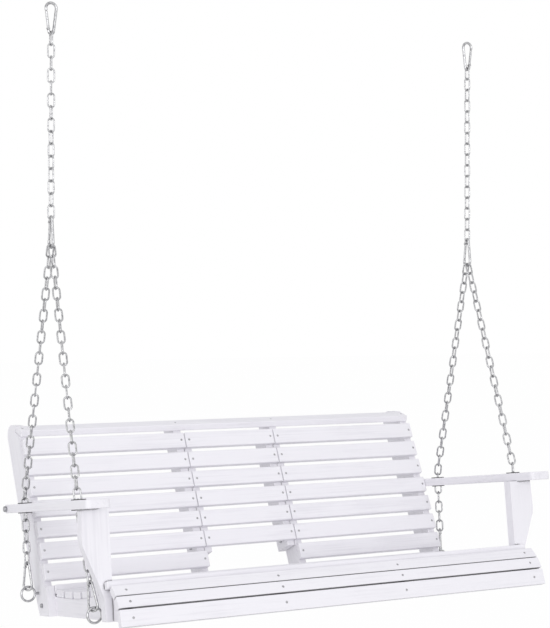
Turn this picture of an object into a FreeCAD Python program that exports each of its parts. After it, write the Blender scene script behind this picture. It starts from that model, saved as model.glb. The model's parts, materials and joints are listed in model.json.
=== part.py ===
import FreeCAD, Part
import math
import os

import Sketcher
from FreeCAD import Placement, Rotation, Vector

# A wooden porch swing bench with a fold-down centre console, hung on two chains.
# The part's frame: origin midway between the bearing points of the two top hooks,
# +X to the right of someone facing the seat, +Y to the back, +Z up.
# The bench hangs tilted, so its boards are laid out in a bench frame (arms level, y = 0
# midway between the chain holes, z = 0 in the middle of the arms) and then placed.

BACK_ROWS = 7
CONSOLE_ROWS = 6
SEAT_ROWS = 7
# The right upper chain is one link longer, and its lower chains are one link shorter
UPPER_LINKS = {"left": 15, "right": 16}
LOWER_LINKS = {"left": 30, "right": 29}

SIZES = (
    ("hang_drop", 1365.1, "bearing line of the top hooks to the middle of the arms"),
    ("hang_setback", -24, "middle of the chain holes from the hanging plane"),
    ("hang_tilt", 7.33, "tilt of the hanging bench, front up, degrees"),
    ("frame_half_width", 671, "outer faces of the end stiles from the middle"),
    ("board_reveal", 1, "boards stop short of the outer faces"),
    ("frame_board", 24, "thickness of stiles and stringers"),
    ("frame_drop", 303.5, "middle of the arms down to the bottom of the frame"),
    ("console_half_width", 153.8, "joint lines of the console from the middle"),
    ("console_gap", 2, "gap at each joint line"),
    ("slat_width", 48, "width of back and seat slats"),
    ("slat_thick", 20, "thickness of slats, nosings and cap"),
    ("slat_pitch", 62.35, "distance from slat to slat of the back"),
    ("edge_round", 3, "rounding of board edges"),
    ("nose_round", 1, "rounding of the front boards' edges"),
    ("back_recline", 18.06, "recline of the back against the arms' normal, degrees"),
    ("back_row_y", 279.3, "face of the top slat, from the middle of the holes"),
    ("back_row_z", 174.8, "middle of the top slat above the arms"),
    ("end_stile_depth", 95, "depth of the end stiles behind the slats"),
    ("end_stile_taper", 136, "start of the end stile's taper below the top slat"),
    ("end_stile_corner", 32, "rounded top corner of the end stiles"),
    ("inner_stile_depth", 64, "depth of the inner and console stiles"),
    ("foot_rear_y", 212, "rear end of the frame at the bottom"),
    ("foot_front_y", 138, "front of the end stile's foot at the bottom"),
    ("foot_lean", 15, "foot's front edge leans back by this much"),
    ("foot_height", 83, "height of the end stile's foot"),
    ("cap_width", 44, "width of the top cap"),
    ("cap_lean", 40, "cap's slope against the slat's normal, degrees"),
    ("cap_rise", 50, "front edge of the cap above the top slat's middle"),
    ("cap_inset", 2, "front edge of the cap behind the slat faces"),
    ("seat_radius", 1415, "radius of the scooped seat frame"),
    ("seat_low_y", 38.2, "lowest point of the scoop"),
    ("seat_low_drop", 254.4, "lowest point of the scoop below the arms"),
    ("nose_start_y", -285, "front end of the scoop"),
    ("upper_nose_width", 42.7, "upper front facet"),
    ("upper_nose_setback", 9.5, "upper nosing starts this far down its facet"),
    ("upper_nose_slope", 45, "slope of the upper front facet, degrees"),
    ("lower_nose_width", 30.9, "lower front facet"),
    ("lower_nose_slope", 59, "slope of the lower front facet, degrees"),
    ("apron_width", 41, "width of the front apron"),
    ("apron_slope", 78, "slope of the front apron, degrees"),
    ("board_gap", 3.2, "gap between the nosings"),
    ("apron_gap", 4.8, "gap between the lower nosing and the apron"),
    ("notch_room", 1, "room round the posts in the first seat slat's notches"),
    ("low_slat_width", 26, "width of the low slat between the end stiles' feet"),
    ("low_slat_room", 1, "ends of the low slat from these feet"),
    ("seat_room", 4, "last seat slat from the low slat"),
    ("arm_front_y", -335, "front end of the arms"),
    ("arm_rear_y", 278, "rear end of the arms"),
    ("arm_width", 68, "width of the arms"),
    ("arm_thick", 24, "thickness of the arms"),
    ("arm_corner", 12, "rounded corners of the arms"),
    ("hole_spacing", 399.2, "distance between the chain holes of an arm"),
    ("hole_diameter", 29, "chain holes and washer bores"),
    ("washer_diameter", 40, "washers at the chain holes"),
    ("washer_thick", 2.5, "thickness of these washers"),
    ("post_clearance", 9.4, "rear face of the arm posts from the washers' rims"),
    ("post_thick", 29, "thickness of the arm posts"),
    ("post_width", 75, "width of the arm posts at the top"),
    ("post_swell", 4, "posts swell by this much before they taper"),
    ("post_swell_drop", 88, "widest point of the posts below the arms"),
    ("post_taper", 146, "length of the posts' taper"),
    ("post_foot_width", 22, "width of the arm posts at the bottom"),
    ("post_bend", 60, "radius of the posts' curved edge"),
    ("screw_diameter", 4.5, "shanks of the screws"),
    ("screw_length", 40, "length of the screws"),
    ("screw_head", 7.2, "diameter of screw heads"),
    ("screw_head_thick", 2.5, "thickness of screw heads"),
    ("screw_sink", 0.6, "screw heads below the board face"),
    ("fit_clearance", 0.1, "radial room of fasteners in their holes"),
    ("bolt_diameter", 8, "shanks of bolts and eye screws"),
    ("bolt_head", 13, "diameter of bolt heads"),
    ("bolt_head_thick", 5, "thickness of bolt heads"),
    ("arm_bolt_y", 259, "arm bolts, from the middle of the holes"),
    ("arm_bolt_head", 17, "diameter of the arm bolts' heads"),
    ("arm_bolt_head_thick", 8, "thickness of the arm bolts' heads"),
    ("foot_bolt_y", 190, "bolt through stile and stringer"),
    ("foot_bolt_drop", 275, "bolt through stile and stringer, below the arms"),
    ("post_bolt_drop", 268, "bolt through stringer and post, below the arms"),
    ("post_bolt_depth", 16, "depth of this bolt in the post"),
    ("pivot_drop", 322, "console pivot below the top slat's middle"),
    ("pivot_depth", 54, "console pivot behind the slat faces"),
    ("pivot_clearance", 0.05, "radial running clearance of the console pivots"),
    ("nut_thick", 5, "nuts of the console pivots"),
    ("nut_diameter", 14, "nuts of the console pivots, across corners"),
    ("side_clearance", 0.5, "room between moving faces at the console pivots"),
    ("console_top", 26, "top of the console stiles above the top slat's middle"),
    ("console_stub", 27, "console stiles reach below their pivots"),
    ("hook_inset", 10, "top hooks are this much further in than the chain holes"),
    ("chain_wire", 4.5, "wire of the upper chains"),
    ("link_width", 22, "outer width of the upper chains' links"),
    ("link_pitch", 33.8, "pitch of the upper chains"),
    ("low_chain_wire", 5, "wire of the lower chains"),
    ("low_link_width", 24, "outer width of the lower chains' links"),
    ("chain_gap", 0.3, "room between neighbouring links"),
    ("link_room", 1, "room between the two links in a junction hook"),
    ("junction_room", 0.8, "room of these slanting links in the hook's bend"),
    ("chain_kink", 34, "chains bend at this height above the arm's middle"),
    ("top_hook_length", 92, "outer length of the top and junction hooks"),
    ("top_hook_wire", 8, "wire of these hooks"),
    ("top_hook_wide", 15, "wide bend of these hooks, to the wire's middle"),
    ("top_hook_narrow", 7, "narrow bend of these hooks"),
    ("hook_length", 84, "outer length of the lower hooks"),
    ("hook_wire", 7, "wire of these hooks"),
    ("hook_wide", 13, "wide bend of these hooks"),
    ("hook_narrow", 6, "narrow bend of these hooks"),
    ("hook_turn", 40, "lower hooks turn outwards by this much, degrees"),
    ("ring_room", 2.2, "room of these turned hooks in the rings"),
    ("hook_stub", 4, "straight stubs at the gate"),
    ("gate_gap", 0.35, "room between the gate's ends and the hook"),
    ("gate_slim", 0.8, "gate rods are thinner than the hook's wire"),
    ("eye_radius", 20, "rings of the eye screws, to the wire's middle"),
    ("eye_wire", 6.5, "wire of these rings"),
    ("eye_reach", 32, "ring's middle from the board face"),
    ("eye_depth", 22, "depth of eye screws in the wood"),
    ("rear_eye_y", 211, "rear eye screws, from the middle of the holes"),
    ("rear_eye_drop", 240, "rear eye screws below the arms"),
    ("front_eye_y", -6.4, "front eye screws, from the front chain holes"),
    ("front_eye_drop", 286, "front eye screws below the arms"),
)

doc = FreeCAD.newDocument("porch_swing")
sheet = doc.addObject("Spreadsheet::Sheet", "Sizes")
for row, (alias, value, note) in enumerate(SIZES, start=1):
    sheet.set("A%d" % row, alias)
    sheet.set("B%d" % row, str(value))
    sheet.set("C%d" % row, note)
    sheet.setAlias("B%d" % row, alias)
doc.recompute()


def size(alias):
    return float(getattr(sheet, alias))


X_AXIS = Vector(1, 0, 0)
nodes = []


# Places along the width, all to the right of the middle
frame_board = size("frame_board")
stile_out = size("frame_half_width")
stile_in = stile_out - frame_board
end_stringer_in = stile_in - frame_board
inner_stile_in = size("console_half_width") + size("console_gap") / 2
inner_stile_out = inner_stile_in + frame_board
inner_stringer_out = inner_stile_out + frame_board
console_out = size("console_half_width") - size("console_gap") / 2
console_in = console_out - frame_board
board_end = stile_out - size("board_reveal")
chain_x = stile_out + size("arm_width") / 2
end_screw_x = stile_in + frame_board / 2
end_seat_screw_x = end_stringer_in + frame_board / 2
inner_screw_x = inner_stile_in + frame_board / 2
inner_seat_screw_x = inner_stile_out + frame_board / 2
console_screw_x = console_in + frame_board / 2

# The hanging bench and the plane of its back
bench = Placement(Vector(0, size("hang_setback"), -size("hang_drop")), Rotation(X_AXIS, -size("hang_tilt")))
back_in_bench = Placement(Vector(0, size("back_row_y"), size("back_row_z")),
                          Rotation(X_AXIS, -size("back_recline")))
back = bench.multiply(back_in_bench)
slat_thick = size("slat_thick")
slat_pitch = size("slat_pitch")
frame_bottom = -size("frame_drop")


def to_back(y, z):
    """A point of the bench frame as (behind, along) in the plane of the back."""
    spot = back_in_bench.inverse().multVec(Vector(0, y, z))
    return (spot.y, spot.z)


def turned(parent, y, z, slope):
    """Placement of a board whose face looks away from a facet with this slope."""
    return parent.multiply(Placement(Vector(0, y, z), Rotation(X_AXIS, slope - 90)))


# The scooped seat frame and its front facets, as points (y, z) of the bench frame
seat_radius = size("seat_radius")
seat_middle_y = size("seat_low_y")
seat_middle_z = seat_radius - size("seat_low_drop")


def on_seat(angle, radius):
    return (seat_middle_y + radius * math.sin(angle), seat_middle_z - radius * math.cos(angle))


def seat_angle(y):
    return math.asin((y - seat_middle_y) / seat_radius)


def down_facet(start, slope, length):
    turn = math.radians(slope)
    return (start[0] - length * math.cos(turn), start[1] - length * math.sin(turn))


nose_top = on_seat(seat_angle(size("nose_start_y")), seat_radius)
nose_mid = down_facet(nose_top, size("upper_nose_slope"), size("upper_nose_width"))
nose_low = down_facet(nose_mid, size("lower_nose_slope"), size("lower_nose_width"))
apron_rise = math.sin(math.radians(size("apron_slope")))
nose_end = down_facet(nose_low, size("apron_slope"), (nose_low[1] - frame_bottom) / apron_rise)


# Helpers for bodies and sketches
def new_body(label):
    body = doc.addObject("PartDesign::Body", label)
    body.Label = label
    return body


def sketch_on(body, name, role):
    sketch = body.newObject("Sketcher::SketchObject", body.Name + "_" + name)
    for feature in body.Origin.OriginFeatures:
        if feature.Role == role:
            sketch.AttachmentSupport = [(feature, "")]
    sketch.MapMode = "FlatFace"
    return sketch


def draw_rectangle(sketch, middle, wide, wide_size, high, high_size):
    """Rectangle about a point on the sketch's x axis, with bound width and height."""
    left = middle - wide / 2
    right = middle + wide / 2
    corners = [Vector(left, -high / 2, 0), Vector(right, -high / 2, 0), Vector(right, high / 2, 0),
               Vector(left, high / 2, 0)]
    for i in range(4):
        sketch.addGeometry(Part.LineSegment(corners[i], corners[(i + 1) % 4]))
    for i in range(4):
        sketch.addConstraint(Sketcher.Constraint("Coincident", i, 2, (i + 1) % 4, 1))
    for i in (0, 2):
        sketch.addConstraint(Sketcher.Constraint("Horizontal", i))
    for i in (1, 3):
        sketch.addConstraint(Sketcher.Constraint("Vertical", i))
    at_left = sketch.addConstraint(Sketcher.Constraint("DistanceX", -1, 1, 0, 1, left))
    sketch.setExpression("Constraints[%d]" % at_left, "%.9g - (%s) / 2" % (middle, wide_size))
    at_low = sketch.addConstraint(Sketcher.Constraint("DistanceY", -1, 1, 0, 1, -high / 2))
    sketch.setExpression("Constraints[%d]" % at_low, "-(%s) / 2" % high_size)
    across = sketch.addConstraint(Sketcher.Constraint("DistanceX", 0, 1, 0, 2, wide))
    sketch.setExpression("Constraints[%d]" % across, wide_size)
    upright = sketch.addConstraint(Sketcher.Constraint("DistanceY", 1, 1, 1, 2, high))
    sketch.setExpression("Constraints[%d]" % upright, high_size)


def draw_circles(sketch, spots, radius_size, radius):
    for x, y in spots:
        index = sketch.addGeometry(Part.Circle(Vector(x, y, 0), Vector(0, 0, 1), radius))
        bound = sketch.addConstraint(Sketcher.Constraint("Radius", index, radius))
        sketch.setExpression("Constraints[%d]" % bound, radius_size)


def rounded_outline(corners):
    """Lines and arcs of a closed outline; each corner is (x, y, radius)."""
    count = len(corners)
    ends = []
    for i in range(count):
        spot = Vector(corners[i][0], corners[i][1], 0)
        radius = corners[i][2]
        to_last = (Vector(corners[i - 1][0], corners[i - 1][1], 0) - spot).normalize()
        to_next = (Vector(corners[(i + 1) % count][0], corners[(i + 1) % count][1], 0) - spot).normalize()
        if radius == 0:
            ends.append((spot, None, spot))
            continue
        half = to_last.getAngle(to_next) / 2
        reach = radius / math.tan(half)
        middle_way = (to_last + to_next).normalize()
        top = spot + middle_way * (radius / math.sin(half) - radius)
        ends.append((spot + to_last * reach, top, spot + to_next * reach))
    outline = []
    for i in range(count):
        first, top, last = ends[i]
        if top is not None:
            outline.append(Part.Arc(first, top, last))
        following = ends[(i + 1) % count][0]
        outline.append(Part.LineSegment(last, following))
    return outline


def draw_outline(sketch, outline):
    for i, piece in enumerate(outline):
        sketch.addGeometry(piece)
        sketch.addConstraint(Sketcher.Constraint("Block", i))


def pad(body, sketch, length_size, reverse=False):
    feature = body.newObject("PartDesign::Pad", body.Name + "_pad")
    feature.Profile = sketch
    feature.Reversed = reverse
    feature.setExpression("Length", length_size)
    doc.recompute()
    return feature


def pocket(body, sketch, name, length_size, reverse=False):
    before = body.Shape.Volume
    feature = body.newObject("PartDesign::Pocket", body.Name + "_" + name)
    feature.Profile = sketch
    feature.Reversed = reverse
    feature.setExpression("Length", length_size)
    doc.recompute()
    if body.Shape.Volume >= before:
        raise RuntimeError(body.Label + ": " + name + " cuts nothing")
    return feature


def round_edges(body, base, edges, radius_size):
    feature = body.newObject("PartDesign::Fillet", body.Name + "_round")
    feature.Base = (base, edges)
    feature.setExpression("Radius", radius_size)
    doc.recompute()
    return feature


def drill(body, name, spot, direction, radius_size, length, length_size=None):
    """Round hole from a point of the body's frame along a direction."""
    before = body.Shape.Volume
    feature = body.newObject("PartDesign::SubtractiveCylinder", body.Name + "_" + name)
    feature.setExpression("Radius", radius_size)
    if length_size is None:
        feature.Height = length
    else:
        feature.setExpression("Height", length_size)
    feature.Placement = Placement(spot, Rotation(Vector(0, 0, 1), direction))
    doc.recompute()
    if body.Shape.Volume >= before:
        raise RuntimeError(body.Label + ": " + name + " cuts nothing")


SCREW_HOLE = "Sizes.screw_diameter / 2 + Sizes.fit_clearance"
HEAD_HOLE = "Sizes.screw_head / 2 + Sizes.fit_clearance"
HEAD_DEPTH = "Sizes.screw_sink + Sizes.screw_head_thick + Sizes.fit_clearance"
BOLT_HOLE = "Sizes.bolt_diameter / 2 + Sizes.fit_clearance"
screw_hole = size("screw_diameter") / 2 + size("fit_clearance")
head_hole = size("screw_head") / 2 + size("fit_clearance")
head_depth = size("screw_sink") + size("screw_head_thick") + size("fit_clearance")
bolt_hole = size("bolt_diameter") / 2 + size("fit_clearance")
screw_reach = size("screw_length") + size("screw_sink") + 1


def screw_holes(body, screw_xs):
    """Holes for screw heads and shanks along the middle of a board's face."""
    spots = [(x, 0) for x in screw_xs]
    shanks = sketch_on(body, "shanks", "XZ_Plane")
    draw_circles(shanks, spots, SCREW_HOLE, screw_hole)
    pocket(body, shanks, "shank_holes", "Sizes.slat_thick + 1")
    heads = sketch_on(body, "heads", "XZ_Plane")
    draw_circles(heads, spots, HEAD_HOLE, head_hole)
    pocket(body, heads, "head_holes", HEAD_DEPTH)


def round_all(body, plank, round_size):
    round_edges(body, plank, ["Edge%d" % (i + 1) for i in range(len(plank.Shape.Edges))], round_size)


def board(label, placement, left, right, length_size, width_size, width, screw_xs):
    """Flat board with rounded edges: face at local y = 0, width along local z."""
    body = new_body(label)
    middle = (left + right) / 2
    blank = sketch_on(body, "blank", "XZ_Plane")
    draw_rectangle(blank, middle, right - left, length_size, width, width_size)
    plank = pad(body, blank, "Sizes.slat_thick", reverse=True)
    round_all(body, plank, "Sizes.edge_round")
    screw_holes(body, screw_xs)
    body.Placement = placement
    return body


def profile_board(label, placement, inner, thick_size, outline, bolts=()):
    """Board cut to an outline in the y-z plane, with bolt holes right through."""
    body = new_body(label)
    blank = sketch_on(body, "outline", "YZ_Plane")
    draw_outline(blank, outline)
    if bolts:
        draw_circles(blank, [spot for spot, bound, radius in bolts], bolts[0][1], bolts[0][2])
    plank = pad(body, blank, thick_size)
    body.Placement = placement.multiply(Placement(Vector(inner, 0, 0), Rotation()))
    return body


def keep(*pieces):
    for piece in pieces:
        nodes.append(piece)


# Screw solids: a flat head with a shank, the head's face looking along local -y
def screw_solid():
    head = Part.makeCylinder(size("screw_head") / 2, size("screw_head_thick"), Vector(0, size("screw_sink"), 0),
                             Vector(0, 1, 0))
    shank = Part.makeCylinder(size("screw_diameter") / 2, size("screw_length"), Vector(0, size("screw_sink"), 0),
                              Vector(0, 1, 0))
    return head.fuse(shank).removeSplitter()


one_screw = screw_solid()
frame_screws = []
console_screws = []


def add_screws(group, placement, screw_xs):
    for x in screw_xs:
        solid = one_screw.copy()
        solid.Placement = placement.multiply(Placement(Vector(x, 0, 0), Rotation()))
        group.append(solid)


def group_node(label, solids):
    feature = doc.addObject("Part::Feature", label)
    feature.Label = label
    feature.Shape = Part.Compound(solids)
    keep(feature)
    return feature


# Slats of the two side panels and of the console
PANEL_LENGTH = "Sizes.frame_half_width - Sizes.board_reveal - Sizes.console_half_width - Sizes.console_gap / 2"
CONSOLE_LENGTH = "2 * Sizes.console_half_width - Sizes.console_gap"
FULL_LENGTH = "2 * (Sizes.frame_half_width - Sizes.board_reveal)"
SEAT_LENGTH = "2 * (Sizes.frame_half_width - Sizes.frame_board)"
LOW_LENGTH = "2 * (Sizes.frame_half_width - Sizes.frame_board - Sizes.low_slat_room)"


def row_placement(row):
    return back.multiply(Placement(Vector(0, 0, -slat_pitch * (row - 1)), Rotation()))


for row in range(1, BACK_ROWS + 1):
    place = row_placement(row)
    left_xs = [-end_screw_x, -inner_screw_x]
    right_xs = [inner_screw_x, end_screw_x]
    keep(board("left_back_slat_%d" % row, place, -board_end, -inner_stile_in, PANEL_LENGTH,
               "Sizes.slat_width", size("slat_width"), left_xs))
    keep(board("right_back_slat_%d" % row, place, inner_stile_in, board_end, PANEL_LENGTH,
               "Sizes.slat_width", size("slat_width"), right_xs))
    add_screws(frame_screws, place, left_xs + right_xs)
for row in range(1, CONSOLE_ROWS + 1):
    place = row_placement(row)
    xs = [-console_screw_x, console_screw_x]
    keep(board("console_slat_%d" % row, place, -console_out, console_out, CONSOLE_LENGTH,
               "Sizes.slat_width", size("slat_width"), xs))
    add_screws(console_screws, place, xs)

# Top cap, lying in the notches of the fixed stiles
cap_turn = math.radians(size("cap_lean"))
cap_mid_behind = size("cap_inset") + size("cap_width") / 2 * math.cos(cap_turn)
cap_mid_along = size("cap_rise") + size("cap_width") / 2 * math.sin(cap_turn)
cap_place = turned(back, cap_mid_behind, cap_mid_along, size("cap_lean"))
cap_xs = [-end_screw_x, -inner_screw_x, inner_screw_x, end_screw_x]
keep(board("top_cap", cap_place, -board_end, board_end, FULL_LENGTH, "Sizes.cap_width", size("cap_width"), cap_xs))
add_screws(frame_screws, cap_place, cap_xs)


def on_cap(along, below):
    """Point (behind, along) of the back's plane, from the cap's front top edge."""
    behind = size("cap_inset") + along * math.cos(cap_turn) + below * math.sin(cap_turn)
    rise = size("cap_rise") + along * math.sin(cap_turn) - below * math.cos(cap_turn)
    return (behind, rise)


# The low slat lies in the plane of the back, its upper edge one row below the last full slat's
low_slat_along = -slat_pitch * BACK_ROWS + (size("slat_width") - size("low_slat_width")) / 2
low_slat_in = stile_in - size("low_slat_room")
low_slat_xs = [-inner_screw_x, inner_screw_x]
low_slat = board("low_slat", Placement(), -low_slat_in, low_slat_in, LOW_LENGTH, "Sizes.low_slat_width",
                 size("low_slat_width"), low_slat_xs)
low_slat_place = back.multiply(Placement(Vector(0, 0, low_slat_along), Rotation()))
low_edge = back_in_bench.multVec(Vector(0, 0, low_slat_along - size("low_slat_width") / 2))

# Seat slats, grouped with the low slat, and spread evenly from the nose to the low slat
# A flat slat rests on the hollow frame with its two lower edges
slat_lift = seat_radius - math.sqrt(seat_radius ** 2 - (size("slat_width") / 2) ** 2)
slat_face = seat_radius - slat_thick - slat_lift
half_slat_turn = size("slat_width") / 2 / (seat_radius - slat_thick)
first_slat = seat_angle(size("nose_start_y") + size("board_gap")) + half_slat_turn
last_slat = seat_angle(low_edge.y - size("seat_room")) - half_slat_turn
slat_turn = (last_slat - first_slat) / (SEAT_ROWS - 1)
seat_xs = [-end_seat_screw_x, -inner_seat_screw_x, inner_seat_screw_x, end_seat_screw_x]
post_rear_y = -(size("hole_spacing") / 2 + size("washer_diameter") / 2 + size("post_clearance"))
post_front_y = post_rear_y - size("post_thick")
seat_slat = board("one_seat_slat", Placement(), -stile_in, stile_in, SEAT_LENGTH, "Sizes.slat_width",
                  size("slat_width"), seat_xs)
front_slat = board("front_seat_slat", Placement(), -board_end, board_end, FULL_LENGTH, "Sizes.slat_width",
                   size("slat_width"), seat_xs)
seat_places = []
for row in range(SEAT_ROWS):
    angle = first_slat + row * slat_turn
    face_y, face_z = on_seat(angle, slat_face)
    seat_places.append((angle, turned(bench, face_y, face_z, math.degrees(angle))))

# The first slat is as long as the nosings, with its rear corners notched round the posts
notch_front_z = (post_front_y - size("notch_room") - on_seat(first_slat, slat_face)[0]) / math.cos(first_slat)
notch_in = stile_in - size("notch_room")
notch_rear_z = size("slat_width") / 2 + 1
if notch_front_z < size("slat_width") / 2:
    notches = sketch_on(front_slat, "notches", "XZ_Plane")
    notch_lines = []
    for side in (-1, 1):
        notch_lines += rounded_outline([(side * notch_in, notch_front_z, 0), (side * (board_end + 1), notch_front_z, 0),
                                        (side * (board_end + 1), notch_rear_z, 0), (side * notch_in, notch_rear_z, 0)])
    draw_outline(notches, notch_lines)
    pocket(front_slat, notches, "post_notches", "Sizes.slat_thick + 1")
seat_solids = []
for row, (angle, place) in enumerate(seat_places):
    solid = (seat_slat if row else front_slat).Shape.copy()
    solid.Placement = place
    seat_solids.append(solid)
    add_screws(frame_screws, place, seat_xs)
solid = low_slat.Shape.copy()
solid.Placement = low_slat_place
seat_solids.append(solid)
add_screws(frame_screws, low_slat_place, low_slat_xs)
group_node("seat_slats", seat_solids)


def front_board(label, start, slope, facet, top, low):
    """Board on a front facet; top and low are each edge's (gap, mitre in degrees)."""
    turn = math.radians(slope)
    y, z = down_facet(start, slope, facet / 2)
    face_y = y - slat_thick * math.sin(turn)
    face_z = z + slat_thick * math.cos(turn)
    back_top = facet / 2 - top[0]
    back_low = low[0] - facet / 2
    face_top = back_top + slat_thick * math.tan(math.radians(top[1]))
    face_low = back_low - slat_thick * math.tan(math.radians(low[1]))
    body = new_body(label)
    blank = sketch_on(body, "blank", "YZ_Plane")
    draw_outline(blank, rounded_outline([(0, face_low, 0), (slat_thick, back_low, 0), (slat_thick, back_top, 0),
                                         (0, face_top, 0)]))
    plank = pad(body, blank, FULL_LENGTH)
    plank.Midplane = True
    doc.recompute()
    round_all(body, plank, "Sizes.nose_round")
    screw_holes(body, seat_xs)
    body.Placement = turned(bench, face_y, face_z, slope)
    keep(body)
    add_screws(frame_screws, body.Placement, seat_xs)
    return (y, z)


half_apron_gap = size("apron_gap") / 2
upper_mitre = (size("board_gap") / 2, (size("lower_nose_slope") - size("upper_nose_slope")) / 2)
lower_mitre = (half_apron_gap, (size("apron_slope") - size("lower_nose_slope")) / 2)
square_edge = (0, 0)
upper_start = down_facet(nose_top, size("upper_nose_slope"), size("upper_nose_setback"))
upper_spot = front_board("upper_nosing", upper_start, size("upper_nose_slope"),
                         size("upper_nose_width") - size("upper_nose_setback"), square_edge, upper_mitre)
lower_spot = front_board("lower_nosing", nose_mid, size("lower_nose_slope"), size("lower_nose_width"),
                         upper_mitre, lower_mitre)
apron_spot = front_board("front_apron", nose_low, size("apron_slope"), size("apron_width") + half_apron_gap,
                         lower_mitre, square_edge)
front_screws = ((upper_spot, size("upper_nose_slope")), (lower_spot, size("lower_nose_slope")),
                (apron_spot, size("apron_slope")))

# Stringers: scooped top edge, faceted front end, square rear end
rear_top = on_seat(seat_angle(size("foot_rear_y")), seat_radius)
scoop_middle = on_seat((seat_angle(size("foot_rear_y")) + seat_angle(size("nose_start_y"))) / 2, seat_radius)


def flat(point):
    return Vector(point[0], point[1], 0)


stringer_outline = [
    Part.Arc(flat(nose_top), flat(scoop_middle), flat(rear_top)),
    Part.LineSegment(flat(rear_top), Vector(size("foot_rear_y"), frame_bottom, 0)),
    Part.LineSegment(Vector(size("foot_rear_y"), frame_bottom, 0), flat(nose_end)),
    Part.LineSegment(flat(nose_end), flat(nose_low)),
    Part.LineSegment(flat(nose_low), flat(nose_mid)),
    Part.LineSegment(flat(nose_mid), flat(nose_top)),
]
foot_bolt_spot = (size("foot_bolt_y"), -size("foot_bolt_drop"))
post_middle_y = post_rear_y - size("post_thick") / 2
post_bolt_spot = (post_middle_y, -size("post_bolt_drop"))
front_eye_spot = (size("front_eye_y") - size("hole_spacing") / 2, -size("front_eye_drop"))
rear_eye_spot = (size("rear_eye_y"), -size("rear_eye_drop"))


def stringer(label, inner, is_end):
    """Seat stringer from its lower X face, drilled for the boards it carries."""
    spots = [foot_bolt_spot]
    if is_end:
        spots += [post_bolt_spot, front_eye_spot]
    body = profile_board(label, bench, inner, "Sizes.frame_board", stringer_outline,
                         [(spot, BOLT_HOLE, bolt_hole) for spot in spots])
    middle = frame_board / 2
    for i, (angle, place) in enumerate(seat_places):
        y, z = on_seat(angle, slat_face)
        drill(body, "seat_hole_%d" % i, Vector(middle, y, z), Vector(0, math.sin(angle), -math.cos(angle)),
              SCREW_HOLE, screw_reach, "Sizes.screw_length + Sizes.screw_sink + 1")
    for i, ((y, z), slope) in enumerate(front_screws):
        turn = math.radians(slope)
        drill(body, "front_hole_%d" % i, Vector(middle, y, z), Vector(0, math.sin(turn), -math.cos(turn)),
              SCREW_HOLE, screw_reach, "Sizes.screw_length + Sizes.screw_sink + 1 - Sizes.slat_thick")
    keep(body)


stringer("left_end_stringer", -stile_in, True)
stringer("left_inner_stringer", -inner_stringer_out, False)
stringer("right_inner_stringer", inner_stile_out, False)
stringer("right_end_stringer", end_stringer_in, True)

# Stiles, drawn in the plane of the back as (behind, along)
notch_front_along = on_cap(0, slat_thick)[1] + (slat_thick - on_cap(0, slat_thick)[0]) * math.tan(cap_turn)
notch_front = (slat_thick, notch_front_along)
notch_rear = on_cap(size("cap_width"), slat_thick)
notch_top = on_cap(size("cap_width"), 0)
level_rise = math.tan(math.radians(size("back_recline") + size("hang_tilt")))
stile_rear = slat_thick + size("end_stile_depth")
top_rear_along = notch_top[1] + (stile_rear - notch_top[0]) * level_rise
foot_top_z = frame_bottom + size("foot_height")
foot_front_top_y = size("foot_front_y") + size("foot_lean")
recline = math.radians(size("back_recline"))


def front_edge_at(z):
    """Point of the stiles' front edge at a height of the bench frame."""
    level = to_back(size("back_row_y"), z)
    return (slat_thick, level[1] + (slat_thick - level[0]) * math.tan(recline))


end_outline = rounded_outline([
    notch_front + (0,),
    notch_rear + (0,),
    notch_top + (0,),
    (stile_rear, top_rear_along, size("end_stile_corner")),
    (stile_rear, -size("end_stile_taper"), 0),
    to_back(size("foot_rear_y"), frame_bottom) + (0,),
    to_back(size("foot_front_y"), frame_bottom) + (0,),
    to_back(foot_front_top_y, foot_top_z) + (0,),
    front_edge_at(foot_top_z) + (0,),
])
inner_rear = slat_thick + size("inner_stile_depth")
inner_bottom_rear = front_edge_at(frame_bottom)[1] + size("inner_stile_depth") * math.tan(recline)
inner_outline = rounded_outline([
    notch_front + (0,),
    notch_rear + (0,),
    (inner_rear, notch_rear[1], 0),
    (inner_rear, inner_bottom_rear, 0),
    front_edge_at(frame_bottom) + (0,),
])
pivot_along = -size("pivot_drop")
console_bottom = pivot_along - size("console_stub")
console_outline = rounded_outline([
    (slat_thick, size("console_top"), 0),
    (inner_rear, size("console_top"), 0),
    (inner_rear, console_bottom, 0),
    (slat_thick, console_bottom, 0),
])
pivot_spot = (size("pivot_depth"), pivot_along)
cap_hole_start = on_cap(size("cap_width") / 2, 0)
cap_hole_way = Vector(0, math.sin(cap_turn), -math.cos(cap_turn))


def stile(label, inner, outline, bolts, row_alongs, has_cap):
    """Stile drilled along the slats' normal for the rows of screws it takes."""
    body = profile_board(label, back, inner, "Sizes.frame_board", outline, bolts)
    middle = frame_board / 2
    holes = sketch_on(body, "row_holes", "XZ_Plane")
    draw_circles(holes, [(middle, along) for along in row_alongs], SCREW_HOLE, screw_hole)
    pocket(body, holes, "screw_holes", "Sizes.screw_length + Sizes.screw_sink + 1")
    if has_cap:
        drill(body, "cap_hole", Vector(middle, cap_hole_start[0], cap_hole_start[1]), cap_hole_way, SCREW_HOLE,
              screw_reach, "Sizes.screw_length + Sizes.screw_sink + 1")
    keep(body)


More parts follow.
